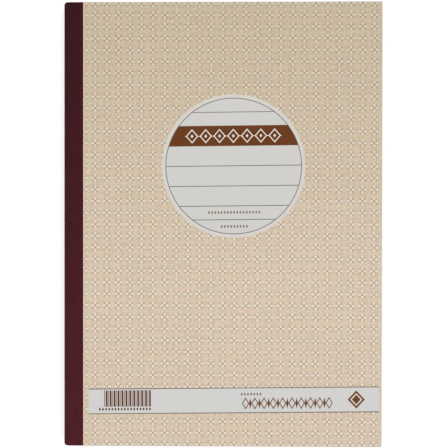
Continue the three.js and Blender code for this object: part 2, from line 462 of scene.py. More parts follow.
def corner_rows(reach: float, radius: float, rows: np.ndarray) -> np.ndarray:
    """Add the rows that draw a rounded corner at both ends.

    They lie at reach - radius * (1 - cos a), with the angle a in even steps up to a quarter turn.

    Args:
        reach: y of the sheet's end.
        radius: the corner's radius.
        rows: the other rows.

    Returns:
        All rows, from the tail to the head.
    """
    arc = reach - radius * (1 - np.cos(np.linspace(0, math.pi / 2, CORNER_ROWS)))
    return merged(rows, arc, -arc)


def setback(end: np.ndarray, radius: float) -> np.ndarray:
    """How far a rounded corner of radius R stands back: R - sqrt(R^2 - (R - d)^2) where d is under R.

    Args:
        end: the distance d from the head or tail.
        radius: the corner's radius.

    Returns:
        The distance from the straight edge.
    """
    short = np.clip(radius - end, 0, radius)
    return radius - np.sqrt(radius**2 - short**2)


def plan(xs: np.ndarray, ys: np.ndarray, spine_radius: float, fore_radius: float = 0.0) -> np.ndarray:
    """Plan places of a sheet whose corners are rounded.

    Each row is set back by its corner's arc. The columns give way to it, fully at the edge and not at
    all a few radii further in.

    Args:
        xs: columns, from the spine to the fore-edge.
        ys: rows, from the tail to the head, the same on both sides of 0.
        spine_radius: radius of the corners at the spine.
        fore_radius: radius of the corners at the fore-edge.

    Returns:
        Places [i, j] as x and y.
    """
    x, y = np.meshgrid(xs, ys, indexing="ij")
    end, moved = ys[-1] - np.abs(y), x.copy()
    for radius, inwards, way in ((spine_radius, x - xs[0], 1), (fore_radius, xs[-1] - x, -1)):
        if radius > 0:
            share = np.clip(1 - inwards / (CORNER_REACH * radius), 0, 1)
            moved += way * setback(end, radius) * share
    return np.stack([moved, y], -1)


@dataclass
class Sheet:
    """A thin sheet over a grid of two parameters.

    upper and lower hold the two faces as points [i, j], with i along the first parameter and j along
    the second, so that the first direction crossed with the second points out of the upper face. Cells
    that keep leaves out are cut right through. Each open side of a kept cell gets a wall.
    """

    upper: np.ndarray
    lower: np.ndarray
    flat: np.ndarray
    keep: np.ndarray | None = None
    slots: tuple[int, int, int] = (0, 0, 0)

    @classmethod
    def level(cls, places: np.ndarray, lower: Any, upper: Any, **rest: Any) -> "Sheet":
        """A sheet that is level from tail to head.

        Args:
            places: plan places [i, j].
            lower: level of the lower face, one number or one for each column.
            upper: level of the upper face, likewise.
            **rest: keep and slots, as the class has them.

        Returns:
            The sheet.
        """
        heights = [np.broadcast_to(np.reshape(level, (-1, 1)), places.shape[:2]) for level in (upper, lower)]
        return cls(*(np.dstack([places, height]) for height in heights), places, **rest)

    def faces(self) -> tuple[np.ndarray, np.ndarray]:
        """Quads of the two faces and of the walls.

        Vertex i * m + j is on the upper face, and the lower face's numbers follow all of the upper's.

        Returns:
            The quads' vertex numbers and their material slots.
        """
        n, m = self.upper.shape[:2]
        number, below = np.arange(n * m).reshape(n, m), n * m
        a, b, c, d = number[:-1, :-1], number[1:, :-1], number[1:, 1:], number[:-1, 1:]
        kept = np.ones((n - 1, m - 1), bool) if self.keep is None else self.keep
        framed = np.pad(kept, 1)
        quads = [np.stack([a, b, c, d], -1)[kept], np.stack([d, c, b, a], -1)[kept] + below]
        sides = (
            (framed[:-2, 1:-1], a, d),
            (framed[2:, 1:-1], c, b),
            (framed[1:-1, :-2], b, a),
            (framed[1:-1, 2:], d, c),
        )
        for neighbour, start, end in sides:
            quads.append(np.stack([start, end, end + below, start + below], -1)[kept & ~neighbour])
        upper, lower, wall = self.slots
        slots = [np.full(len(q), slot) for q, slot in zip(quads, (upper, lower, wall, wall, wall, wall))]
        return np.concatenate(quads), np.concatenate(slots)


def make_piece(name: str, sheets: list[Sheet], materials: list[Material]) -> Piece:
    """Make one object of one or more sheets, in place.

    Args:
        name: the piece's name.
        sheets: its sheets, in mm.
        materials: the materials that the sheets' slots number.

    Returns:
        The object, at the origin, with its flat places as an attribute.
    """
    points = [np.concatenate([s.upper.reshape(-1, 3), s.lower.reshape(-1, 3)]) for s in sheets]
    flats = [np.concatenate([s.flat.reshape(-1, 2)] * 2) for s in sheets]
    firsts = np.cumsum([0] + [len(p) for p in points])
    quads, slots = zip(*(s.faces() for s in sheets))
    faces = np.concatenate([q + first for q, first in zip(quads, firsts)])
    used, new = np.unique(faces, return_inverse=True)
    places, flat = np.concatenate(points)[used], np.concatenate(flats)[used]
    mesh = bpy.data.meshes.new(name)
    mesh.from_pydata(places * MM, [], new.reshape(faces.shape).tolist())
    mesh.polygons.foreach_set("material_index", np.concatenate(slots).astype(np.int32))
    mesh.polygons.foreach_set("use_smooth", np.ones(len(faces), bool))
    attribute = mesh.attributes.new(FLAT, "FLOAT_VECTOR", "POINT")
    attribute.data.foreach_set("vector", np.column_stack([flat, places[:, 2]]).astype(np.float32).ravel())
    for material in materials:
        mesh.materials.append(material)
    mesh.set_sharp_from_angle(angle=math.radians(SHARP_DEGREES))
    piece = bpy.data.objects.new(name, mesh)
    bpy.context.scene.collection.objects.link(piece)
    return piece


class Finish:
    """A real material. Each kind gives the constants of its surface and draws the rest in mm."""

    name: str
    surface: ClassVar[dict[str, float]]

    def place(self, tree: Tree) -> Socket:
        """A point's place on its sheet when flat, which stays with the sheet when it bends."""
        return add_node(tree, "Attribute", {}, out="Vector", attribute_name=FLAT)

    def drawn(self, pen: Pen) -> dict[str, Socket]:
        """What is drawn, as the surface's inputs and what feeds them."""
        raise NotImplementedError

    def material(self) -> Material:
        """Build the material.

        Returns:
            The material, with its constants on the surface's own sockets.
        """
        made = bpy.data.materials.new(self.name)
        tree = empty_tree(made)
        drawn = self.drawn(Pen(tree, self.place(tree)))
        shader = add_node(tree, "BsdfPrincipled", {**self.surface, **drawn})
        add_node(tree, "OutputMaterial", {0: shader})
        return made


class Form(Enum):
    """The forms that a border repeats."""

    LOZENGE = "lozenge"
    BAR = "bar"


@dataclass(frozen=True)
class Mark:
    """A lozenge or a bar of a border, filled, or only a line where it has one.

    Its place along is how far its middle stands from the middle of the border's cell.
    """

    form: Form
    half_width: float
    half_height: float
    line: float = 0.0
    along: float = 0.0

    def shape(self, pen: Pen) -> Socket:
        """Draw the mark.

        Args:
            pen: a pen at the mark's middle.

        Returns:
            The shape.
        """
        x, y = self.half_width, self.half_height
        solid = pen.lozenge(x, y) if self.form is Form.LOZENGE else pen.box(-x, x, -y, y)
        return pen.outline(solid, self.line) if self.line else solid


@dataclass(frozen=True)
class Border:
    """A row of marks that repeat at a pitch along x, as far as a reach on both sides of its middle."""

    middle: Span
    reach: float
    pitch: float
    marks: tuple[Mark, ...]

    @classmethod
    def fine(cls, middle: Span, reach: float) -> "Border":
        """A fine row of small filled lozenges."""
        return cls(middle, reach, pitch=2.1, marks=(Mark(Form.LOZENGE, half_width=0.72, half_height=1.2),))

    def shape(self, pen: Pen) -> Socket:
        """Draw the row.

        Args:
            pen: a pen over the field that carries the row.

        Returns:
            The shape.
        """
        row = pen.moved(self.middle)
        marks = (mark.shape(row.moved((mark.along, 0)).repeated(self.pitch)) for mark in self.marks)
        length = row.box(-self.reach, self.reach, -ENDLESS, ENDLESS)
        return row.combined(Region.ALL, length, row.combined(Region.ANY, *marks))


@dataclass(frozen=True)
class Rosettes:
    """The all-over pattern: small four-petalled rosettes on a square grid, with a dot between every four.

    Each petal is a stretched disc that stands out from the rosette's middle, over a soft shadow.
    """

    petal: str = "#E7DBCB"
    shadow: str = "#BAA48A"
    core: str = "#8C765B"
    pitch: float = 7.76
    softness: float = 0.16
    petal_out: float = 1.5
    petal_radius: float = 0.98
    petal_stretch: Span = (1.3, 1.0)
    shadow_radius: float = 2.95
    shadow_softness: float = 0.45
    shadow_strength: float = 0.5
    line_reach: float = 2.2
    line_width: float = 0.44
    line_strength: float = 0.85
    dot_half: float = 0.6
    dot_strength: float = 0.35

    def laid(self, pen: Pen, ground: Socket) -> Socket:
        """Lay the rosettes over the ground.

        With a the larger and b the smaller of |x| and |y| in a cell, each petal is an ellipse about
        a = petal_out, b = 0, the brown lines between the petals run where a is near b, and a dot sits
        on each corner of the cell.

        Args:
            pen: a pen over the card.
            ground: the ground's colour.

        Returns:
            The printed colour.
        """
        tree, cell = pen.tree, pen.repeated(self.pitch, self.pitch)
        folded = add_node(tree, "VectorMath", {0: cell.place}, operation="ABSOLUTE")
        x, y = add_node(tree, "SeparateXYZ", {0: folded}).node.outputs[:2]
        larger, smaller = pen.combined(Region.ALL, x, y), pen.combined(Region.ANY, x, y)
        fold = Pen(tree, add_node(tree, "CombineXYZ", {0: larger, 1: smaller}), self.softness)
        wide = replace(fold, softness=self.shadow_softness)
        petal = fold.moved((self.petal_out, 0), stretch=self.petal_stretch).disc(self.petal_radius)
        diagonal = fold.moved((0, 0), degrees=45).rule(0, self.line_width)
        lines = fold.combined(Region.ALL, diagonal, fold.disc(self.line_reach))
        dots = pen.moved((self.pitch / 2, self.pitch / 2)).repeated(self.pitch, self.pitch)
        return layered(
            tree,
            ground,
            (self.shadow, wide.mask(fold.disc(self.shadow_radius), self.shadow_strength)),
            (self.petal, fold.mask(petal)),
            (self.core, fold.mask(lines, self.line_strength)),
            (self.petal, dots.mask(dots.lozenge(self.dot_half, self.dot_half), self.dot_strength)),
        )


@dataclass(frozen=True)
class PaleField:
    """A pale field over the pattern: its tint lies a little mottled, and some thin lines are warm grey.

    Sizes are in mm, and the tilt is in degrees.
    """

    warm_line: str = "#7E6C58"
    mottle: Grain = Grain(1.4, shade=0.05)


@dataclass(frozen=True)
class RoundLabel(PaleField):
    """The round label: a rim, paper inside a fine ring, ruled lines, and a dark band with a row of lozenges.

    The band carries seven open lozenges, joined end to end, with a filled one in each. Two fine rows lie
    under it. The heights of the rules and of the band are from the label's middle.
    """

    paper: str = "#D1D0CC"
    rim: str = "#D7D3CC"
    line: str = "#66645F"
    brown: str = "#643409"
    cream: str = "#F1EDE4"
    brown_mottle: Grain = Grain(1.6, shade=0.1)
    centre: Span = (7.26, 38.97)
    tilt: float = 0.68
    ring_radius: float = 45.32
    rim_radius: float = 47.9
    line_width: float = 0.5
    rules: tuple[float, ...] = (0.2, -13.25, -26.57, -35.75)
    warm_rule: float = 36.05
    band: Span = (13.45, 27.05)
    border: Border = Border(
        middle=(0, 20.15),
        reach=32.2,
        pitch=9.2,
        marks=(
            Mark(Form.LOZENGE, half_width=3.7, half_height=4.3, line=0.6),
            Mark(Form.LOZENGE, half_width=0.9, half_height=1.15),
            Mark(Form.BAR, half_width=0.9, half_height=0.2, along=4.6),
        ),
    )
    fine_rows: tuple[Border, ...] = (Border.fine((0, -30.9), 17.85), Border.fine((0, -40.3), 9.45))

    def laid(self, pen: Pen, colour: Socket) -> Socket:
        """Lay the label over the pattern, from its rim up to the ring's line.

        Args:
            pen: a pen over the card.
            colour: the colour below.

        Returns:
            The printed colour.
        """
        label = pen.moved(self.centre, self.tilt)
        ring = label.disc(self.ring_radius)
        rules = (label.rule(y, self.line_width) for y in self.rules)
        inner = (
            (self.line, label.combined(Region.ANY, *rules)),
            (self.warm_line, label.rule(self.warm_rule, self.line_width)),
            (pen.shaded(self.brown, self.brown_mottle), label.box(-ENDLESS, ENDLESS, *self.band)),
        )
        return label.printed(
            colour,
            (self.rim, label.disc(self.rim_radius)),
            (pen.shaded(self.paper, self.mottle), ring),
            *((ink, label.combined(Region.ALL, ring, shape)) for ink, shape in inner),
            (self.cream, self.border.shape(label)),
            *((self.warm_line, row.shape(label)) for row in self.fine_rows),
            (self.line, label.outline(ring, self.line_width)),
        )


@dataclass(frozen=True)
class FootStrip(PaleField):
    """The strip along the foot: pale paper between two rules, with bars, rows of lozenges and one framed.

    The bars stand in twelve pairs of a broad and a fine one. In the long row, open lozenges and slim
    filled ones take turns. Places are from the strip's middle.
    """

    paper: str = "#D4D3D1"
    foot_line: str = "#75695B"
    bar_ink: str = "#5C2C04"
    lozenge_ink: str = "#6C3D0E"
    centre: Span = (7.41, -117.7)
    tilt: float = 0.67
    half_length: float = 97.27
    half_height: float = 8.3
    line_width: float = 0.6
    bars: Border = Border(
        middle=(-71.2, 1.8),
        reach=15.8,
        pitch=2.64,
        marks=(
            Mark(Form.BAR, half_width=0.6, half_height=5.45, along=-0.6),
            Mark(Form.BAR, half_width=0.215, half_height=5.45, along=0.665),
        ),
    )
    below_bars: Border = Border.fine((-72.9, -5.3), 17.85)
    above_row: Border = Border.fine((11.8, 4.1), 7.35)
    long_row: Border = Border(
        middle=(35.9, -2.1),
        reach=30.1,
        pitch=6.2,
        marks=(
            Mark(Form.LOZENGE, half_width=2.05, half_height=3.5, line=0.6, along=3.1),
            Mark(Form.LOZENGE, half_width=0.9, half_height=3.6),
        ),
    )
    framed: Border = Border(
        middle=(81.9, 0.0),
        reach=6.0,
        pitch=ENDLESS,
        marks=(
            Mark(Form.LOZENGE, half_width=4.9, half_height=5.2, line=1.2),
            Mark(Form.LOZENGE, half_width=2.9, half_height=3.2),
        ),
    )

    def laid(self, pen: Pen, colour: Socket) -> Socket:
        """Lay the strip over the pattern, its paper first.

        Args:
            pen: a pen over the card.
            colour: the colour below.

        Returns:
            The printed colour.
        """
        strip = pen.moved(self.centre, self.tilt)
        x, y, half_line = self.half_length, self.half_height, self.line_width / 2
        upper, lower = (strip.box(-x, x, end - half_line, end + half_line) for end in (y, -y))
        rows = (
            (self.bar_ink, self.bars),
            (self.bar_ink, self.below_bars),
            (self.warm_line, self.above_row),
            (self.lozenge_ink, self.long_row),
            (self.lozenge_ink, self.framed),
        )
        return strip.printed(
            colour,
            (pen.shaded(self.paper, self.mottle), strip.box(-x, x, -y, y)),
            (self.warm_line, upper),
            (self.foot_line, lower),
            *((ink, row.shape(strip)) for ink, row in rows),
        )


@dataclass(frozen=True)
class PrintedCard(Finish):
    """Offset-printed cover card, sized and calendered: a dull sheen over a fine, even grain.

    The print is an all-over pattern of small rosettes, pale on a warm tan ground with fine brown lines
    between the petals. The front also has a round label with ruled lines and a dark band, and a pale
    strip along the foot. The ink's mottle and the card's tooth are drawn nearly a millimetre wide,
    coarser than real ones, so that they show.
    """

    side: Side
    at: Levels
    surface: ClassVar[dict[str, float]] = {"Specular IOR Level": 0.12}
    ground: str = "#DBC5B3"
    ground_yellow: str = "#D5C7AC"
    head_tint: str = "#ECECE5"
    # painted shade: a grey that darkens the card along its cut edges
    edge_shade: str = "#BFBCB4"
    # painted highlight: a pale line along the crease beside the tape
    crease_highlight: str = "#F3D5C2"
    rosettes: Rosettes = Rosettes()
    label: RoundLabel = RoundLabel()
    strip: FootStrip = FootStrip()
    yellowing: Grain = Grain(3.5, 3.0)
    yellowed: Ramp = (0.36, 0.64, 0.0, 1.0)
    mottle: Grain = Grain(0.9, shade=0.45)
    clouds: Grain = Grain(45.0, 1.0, shade=0.03)
    swell: Grain = Grain(14.0, 1.0, depth=0.05)
    tooth: Grain = Grain(0.5, 3.0, depth=0.012)
    gloss: Grain = Grain(9.0)
    roughness: Ramp = (0.3, 0.7, 0.46, 0.56)
    tone_start: float = -40.0
    breakup: Grain = Grain(1.2, 4.0)
    crease_highlight_breaks: Ramp = (0.3, 0.7, 0.5, 0.9)
    edge_shade_patches: Ramp = (0.4, 0.66, 0.25, 0.85)
    edge_shade_width: float = 1.3
    crease_reach: Span = (1.0, 0.1)
    crease_softness: float = 0.4

    @property
    def name(self) -> str:
        """The material's name, one for each cover."""
        return f"offset_printed_card_{self.side.value}"

    def drawn(self, pen: Pen) -> dict[str, Socket]:
        """Draw the print, a painted highlight along the crease, painted shade along the cut edges, the
        card's grain and its uneven gloss.

        Args:
            pen: a pen over the card.

        Returns:
            Colour, normals and roughness.
        """
        tree = pen.tree
        yellowed = add_node(tree, "MapRange", {0: pen.speckle(self.yellowing), **ends(self.yellowed)})
        ground = layered(tree, self.ground, (self.ground_yellow, yellowed))
        ground = pen.shaded(pen.shaded(ground, self.mottle), self.clouds)
        colour = self.tone(pen, self.rosettes.laid(pen, ground))
        if self.side is Side.FRONT:
            colour = self.strip.laid(pen, self.label.laid(pen, colour))
        return {
            "Base Color": self.painted_crease_and_edges(pen, colour),
            "Normal": pen.raised(self.swell, self.tooth),
            "Roughness": add_node(tree, "MapRange", {0: pen.speckle(self.gloss), **ends(self.roughness)}),
        }

    def tone(self, pen: Pen, colour: Socket) -> Socket:
        """Deepen and yellow the pattern evenly towards the head.

        Args:
            pen: a pen over the card.
            colour: the pattern.

        Returns:
            The pattern times a colour that is white up to tone_start and full at the head.
        """
        y = add_node(pen.tree, "SeparateXYZ", {0: pen.place}, out=1)
        share = add_node(pen.tree, "MapRange", {0: y, 1: self.tone_start, 2: self.at.head})
        return layered(pen.tree, colour, (self.head_tint, share), blend=Blend.STAIN)

    def painted_crease_and_edges(self, pen: Pen, colour: Socket) -> Socket:
        """Paint a pale highlight along the crease, broken up at random, and grey shade in patches along the
        cut edges.

        Args:
            pen: a pen over the card.
            colour: the colour below.

        Returns:
            The worn colour.
        """
        tree, at, breakup = pen.tree, self.at, pen.speckle(self.breakup)
        crease_highlight_breaks = add_node(tree, "MapRange", {0: breakup, **ends(self.crease_highlight_breaks)})
        edge_shade_patches = add_node(tree, "MapRange", {0: breakup, **ends(self.edge_shade_patches)})
        before, past = self.crease_reach
        fold = pen.box(at.flange - before, at.crease + past, -ENDLESS, ENDLESS)
        edge = pen.box(at.spine, at.fore, -at.head, at.head)
        # painted shade along the cut edges, in patches
        rim = add_node(tree, "MapRange", {0: edge, 1: -self.edge_shade_width, 2: 0.0, 3: 0.0, 4: edge_shade_patches})
        # painted highlight along the crease, broken up at random
        crease = replace(pen, softness=self.crease_softness).mask(fold, crease_highlight_breaks)
        return layered(tree, colour, (self.crease_highlight, crease), (self.edge_shade, rim))


@dataclass(frozen=True)
class RawCard(Finish):
    """Unprinted card, as the inner faces and cut edges show it: matt off-white pulp with faint fibres.

    The fibres are drawn coarser than real ones, so that they show.
    """

    name: str = "uncoated_card"
    surface: ClassVar[dict[str, float]] = {"Roughness": 0.85, "Specular IOR Level": 0.25}
    colour: str = "#E3DDD0"
    fleck: str = "#C9BFAC"
    fibres: Grain = Grain(1.4, 4.0, (1.0, 3.0), depth=0.03)
    flecks: Ramp = (0.6, 0.72, 0.0, 0.7)
    clouds: Grain = Grain(7.0, 4.0, shade=0.05)

    def drawn(self, pen: Pen) -> dict[str, Socket]:
        """Draw clouds of lighter and darker pulp, and fibres that lie along the card.

        Args:
            pen: a pen over the card.

        Returns:
            Colour and normals.
        """
        flecks = add_node(pen.tree, "MapRange", {0: pen.speckle(self.fibres), **ends(self.flecks)})
        colour = layered(pen.tree, pen.shaded(self.colour, self.clouds), (self.fleck, flecks))
        return {"Base Color": colour, "Normal": pen.raised(self.fibres)}


@dataclass(frozen=True)
class BookCloth(Finish):
    """Starched cotton book cloth in plain weave, dyed burgundy: matt threads with a faint sheen.

    Its threads lie half a millimetre apart, a little coarser than real ones, so that they show.
    """

    cut: float
    name: str = "cotton_book_cloth"
    surface: ClassVar[dict[str, float]] = {
        "Roughness": 0.85,
        "Specular IOR Level": 0.1,
        "Sheen Weight": 0.04,
        "Sheen Roughness": 0.5,
    }
    warp: str = "#41171D"
    weft: str = "#491A22"
    gap: str = "#200A0F"
    lint: str = "#643338"
    cut_edge_band: str = "#4E1C1E"
    thread: float = 0.5
    gaps: Ramp = (0.0, 0.35, 0.55, 0.0)
    warp_slubs: Grain = Grain(0.9, 3.0, (1.0, 14.0), shade=0.3)
    weft_slubs: Grain = Grain(0.9, 2.0, (10.0, 1.0), shade=0.14)
    clouds: Grain = Grain(5.0, 3.0, shade=0.14)
    specks: Grain = Grain(0.8, 5.0)
    linted: Ramp = (0.68, 0.8, 0.0, 0.4)
    weave_depth: float = 0.05
    head_shade_per_mm: float = 0.0023
    cut_edge_band_width: float = 3.4
    cut_edge_band_strength: float = 0.55

    def drawn(self, pen: Pen) -> dict[str, Socket]:
        """Draw the weave, its slubs and its lint.

        The height of the weave is half of 1 + sin(x) sin(y), with one wave for two threads each way,
        so that threads pass over and under one another in turn.

        Args:
            pen: a pen over the cloth.

        Returns:
            Colour and normals.
        """
        tree, turn = pen.tree, math.pi / self.thread
        angle = add_node(tree, "VectorMath", {0: pen.place, 1: (turn, turn, 0)}, operation="MULTIPLY")
        waves = add_node(tree, "VectorMath", {0: angle}, operation="SINE")
        across, along = add_node(tree, "SeparateXYZ", {0: waves}).node.outputs[:2]
        product = add_node(tree, "Math", {0: across, 1: along}, operation="MULTIPLY")
        over = add_node(tree, "MapRange", {0: product, 1: -1.0, 2: 1.0})
        hollow = add_node(tree, "Math", {0: product}, operation="ABSOLUTE")
        between = add_node(tree, "MapRange", {0: hollow, **ends(self.gaps)})
        colour = layered(tree, self.warp, (self.weft, over), (self.gap, between))
        for grain in (self.warp_slubs, self.weft_slubs, self.clouds):
            colour = pen.shaded(colour, grain)
        linted = add_node(tree, "MapRange", {0: pen.speckle(self.specks), **ends(self.linted)})
        height = add_node(tree, "Math", {0: over, 1: pen.speckle(self.warp_slubs)}, operation="ADD")
        return {
            "Base Color": layered(tree, self.head_shade_and_edge_band(pen, colour), (self.lint, linted)),
            "Normal": relief(tree, (height, self.weave_depth)),
        }

    def head_shade_and_edge_band(self, pen: Pen, colour: Socket) -> Socket:
        """Paint shade that darkens the cloth evenly from tail to head, and lay a lighter, redder band along
        its cut edge on the front cover.

        The painted shade's factor is 1 minus a fixed share for each mm from the middle towards the head.

        Args:
            pen: a pen over the cloth.
            colour: the cloth's colour.

        Returns:
            The changed colour.
        """
        tree, start = pen.tree, self.cut - self.cut_edge_band_width
        x, y = add_node(tree, "SeparateXYZ", {0: pen.place}).node.outputs[:2]
        # painted shade: the cloth darkens evenly towards the head
        factor = add_node(tree, "Math", {0: y, 1: -self.head_shade_per_mm, 2: 1.0}, operation="MULTIPLY_ADD")
        # a lighter, redder band along the cut edge
        edge = add_node(tree, "MapRange", {0: x, 1: start, 2: self.cut, 3: 0.0, 4: self.cut_edge_band_strength})
        darker = layered(tree, colour, (factor, 1.0), blend=Blend.STAIN)
        return layered(tree, darker, (self.cut_edge_band, edge))


@dataclass(frozen=True)
class CarbonlessPaper(Finish):
    """Carbonless copy paper: thin, smooth and matt, with a blank invoice form printed in one ink.

    The paper's tooth is drawn coarser than a real one, so that it shows. The form's heights are from the
    leaf's middle. Its margins are beside the perforation and at the fore-edge, and each of its address
    boxes is given by width, foot and top.
    """

    ply: Ply
    at: Levels
    printed: bool
    surface: ClassVar[dict[str, float]] = {"Roughness": 0.75, "Specular IOR Level": 0.3}
    tints: ClassVar[dict[Ply, str]] = {
        Ply.ORIGINAL: "#F3F2EE",
        Ply.DUPLICATE: "#F2C9CF",
        Ply.TRIPLICATE: "#F3E7A4",
    }
    inks: ClassVar[dict[Ply, str]] = {
        Ply.ORIGINAL: "#8FA3B4",
        Ply.DUPLICATE: "#9C8FA6",
        Ply.TRIPLICATE: "#96A08A",
    }
    clouds: Grain = Grain(6.0, 3.0, shade=0.018)
    tooth: Grain = Grain(0.8, 3.0, depth=0.01)
    ink_width: float = 0.35
    margins: Span = (9.0, 8.0)
    sender: tuple[float, float, float] = (74.0, 98.0, 138.0)
    customer: tuple[float, float, float] = (88.0, 84.0, 124.0)
    table: Span = (-104.0, 62.0)
    heading: float = 9.0
    heading_tint: float = 0.35
    number_column: float = 22.0
    price_column: float = 26.0
    sum_column: float = 32.0
    total_rows: int = 3
    total_row: float = 10.0
    row: float = 8.0
    dash_pitch: float = 1.6
    dash_half: Span = (0.5, 0.12)

    @property
    def name(self) -> str:
        """The material's name, one for each leaf of a set, with its form and without."""
        return f"carbonless_paper_{self.ply.value}{'_form' if self.printed else ''}"

    def drawn(self, pen: Pen) -> dict[str, Socket]:
        """Draw the paper's faint clouds, its form and its fine tooth.

        Args:
            pen: a pen over the leaf.

        Returns:
            Colour and normals.
        """
        colour = pen.shaded(self.tints[self.ply], self.clouds)
        if self.printed:
            colour = self.form(pen, colour)
        return {"Base Color": colour, "Normal": pen.raised(self.tooth)}

    def form(self, pen: Pen, colour: Socket) -> Socket:
        """Lay a blank invoice form over the paper: two address boxes, a ruled table and a box of totals.

        Args:
            pen: a pen over the leaf.
            colour: the paper's colour.

        Returns:
            The printed colour.
        """
        left, right = self.at.crease + self.margins[0], self.at.fore - self.margins[1]
        foot, top = self.table
        sums, under = right - self.sum_column, top - self.heading
        prices = sums - self.price_column
        totals = [foot - self.total_row * n for n in range(self.total_rows + 1)]
        frames = (
            (left, left + self.sender[0], *self.sender[1:]),
            (right - self.customer[0], right, *self.customer[1:]),
            (left, right, foot, top),
            (left, right, under, top),
            (left + self.number_column, prices, foot, top),
            (prices, sums, foot, top),
            (sums, right, totals[-1], top),
            *((prices, right, low, high) for high, low in zip(totals, totals[1:])),
        )
        lines = pen.combined(Region.ANY, *(pen.outline(pen.box(*edges), self.ink_width) for edges in frames))
        x, y = self.dash_half
        dash = pen.moved((0, foot)).repeated(up=self.row).repeated(self.dash_pitch).box(-x, x, -y, y)
        dotted = pen.combined(Region.ALL, dash, pen.box(left, right, foot, under))
        tint = pen.mask(pen.box(left, right, under, top), self.heading_tint)
        ink = self.inks[self.ply]
        return layered(pen.tree, pen.printed(colour, (ink, lines), (ink, dotted)), (ink, tint))


@dataclass(frozen=True)
class PulpBoard(Finish):
    """Grey-brown chipboard pressed from waste paper: dull, soft and full of fibres and flecks.

    The fibres are drawn coarser than real ones, so that they show.
    """

    name: str = "grey_chipboard"
    surface: ClassVar[dict[str, float]] = {"Roughness": 0.9, "Specular IOR Level": 0.2}
    colour: str = "#B5A68B"
    dark: str = "#8F7F66"
    light: str = "#D4C8B1"
    fibres: Grain = Grain(0.5, 5.0, (3.0, 1.0), depth=0.05)
    darkened: Ramp = (0.58, 0.72, 0.0, 0.75)
    lightened: Ramp = (0.42, 0.3, 0.0, 0.6)
    clouds: Grain = Grain(3.0, 5.0, shade=0.08)

    def drawn(self, pen: Pen) -> dict[str, Socket]:
        """Draw clouded pulp with dark and pale fibres, which stand out a little.

        Args:
            pen: a pen over the board.

        Returns:
            Colour and normals.
        """
        tree, fibres = pen.tree, pen.speckle(self.fibres)
        dark = add_node(tree, "MapRange", {0: fibres, **ends(self.darkened)})
        light = add_node(tree, "MapRange", {0: fibres, **ends(self.lightened)})
        base = pen.shaded(self.colour, self.clouds)
        colour = layered(tree, base, (self.dark, dark), (self.light, light))
        return {"Base Color": colour, "Normal": pen.raised(self.fibres)}


@dataclass(frozen=True)
class StitchingWire(Finish):
    """Galvanised steel stitching wire, drawn: bright grey with lengthwise scratches.

    The scratches are drawn coarser than real ones, so that they show.
    """

    name: str = "galvanised_stitching_wire"
    surface: ClassVar[dict[str, float]] = {"Metallic": 1.0}
    colour: str = "#B9BCBE"
    scratch: str = "#8E9194"
    scratches: Grain = Grain(0.15, 3.0, (1.0, 8.0))
    roughness: Ramp = (0.3, 0.7, 0.28, 0.48)

    def place(self, tree: Tree) -> Socket:
        """A point's place in the book, in mm, because the wire keeps its CAD mesh."""
        place = add_node(tree, "TexCoord", {}, out="Object")
        return add_node(tree, "VectorMath", {0: place, "Scale": 1 / MM}, operation="SCALE")

    def drawn(self, pen: Pen) -> dict[str, Socket]:
        """Draw the scratches that the die leaves, darker and rougher than the zinc.

        Args:
            pen: a pen over the wire.

        Returns:
            Colour and roughness.
        """
        marks = pen.speckle(self.scratches)
        rough = add_node(pen.tree, "MapRange", {0: marks, **ends(self.roughness)})
        return {"Base Color": layered(pen.tree, self.colour, (self.scratch, marks)), "Roughness": rough}


@dataclass
class TurningSheet:
    """A sheet that is held in the binding, and turns at a crease or perforation beside the tape.

    It bends from bend_lead before that line to bend_length past it. Its columns lie fine or coarse mm
    apart, and radius is that of its corners at the spine.
    """

    at: Levels
    radius: float = 2.6
    fine: float = 0.18
    coarse: float = 8.0
    bend_length: float = 2.6
    bend_lead: float = 0.2

    def columns(self, left: float, right: float) -> np.ndarray:
        """Columns of the sheet: fine where it climbs and bends, and coarse elsewhere.

        In the binding they are four times as close as where they are coarse.

        Args:
            left: its edge in the binding.
            right: its fore-edge.

        Returns:
            x of the columns.
        """
        turned = self.at.crease + self.bend_length
        held = steps(left, left + CORNER_REACH * self.radius, self.at.flange, pitch=self.coarse / 4)
        bend = steps(self.at.flange, self.at.shield, turned, pitch=self.fine)
        return merged(held, bend, steps(turned, right, pitch=self.coarse))

    def climb(self, xs: np.ndarray, bound: float, free: float) -> np.ndarray:
        """Levels of a face that climbs from the tape's edge to the shield's by a smooth step.

        Args:
            xs: the columns.
            bound: its level in the binding.
            free: its level past the climb.

        Returns:
            The level of each column.
        """
        share = smooth((xs - self.at.flange) / (self.at.shield - self.at.flange))
        return bound + (free - bound) * share

    def hang(self, piece: Piece, body: str, level: float) -> None:
        """Bake a piece's transform into its mesh.

        Args:
            piece: the piece.
            body: not used.
            level: the piece's level.
        """
        bend = self.at.crease - self.bend_lead, self.at.crease + self.bend_length
        start, end = ((x * MM, 0, level * MM) for x in bend)
        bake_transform(piece)
        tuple(start)
        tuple(end)


@dataclass
class Cover(TurningSheet):
    """A cover: one card from the binding to the fore-edge, which bends at its crease beside the tape."""

    side: Side = Side.FRONT
    raw: Material | None = None
    row_pitch: float = 9.0

    def build(self) -> Piece:
        """Make the card from its level in the binding to the panel's.

        Returns:
            The card, printed outside and raw inside and at its edges.
        """
        node = self.side.value
        strip, panel = millimetres(node + "_bound_strip"), millimetres(node)
        xs = self.columns(strip[0][0], self.at.fore)
        rows = steps(-self.at.head, self.at.head, pitch=self.row_pitch)
        ys = corner_rows(self.at.head, self.radius, rows)
        lower, upper = (self.climb(xs, strip[i][2], panel[i][2]) for i in (0, 1))
        outwards = (0, 1, 1) if self.side is Side.FRONT else (1, 0, 1)
        sheet = Sheet.level(plan(xs, ys, self.radius), lower, upper, slots=outwards)
        printed = PrintedCard(self.side, self.at).material()
        card = make_piece(node + "_card", [sheet], [printed, self.raw])
        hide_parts(node, node + "_bound_strip")
        self.hang(card, node, panel[:, 2].mean())
        return card


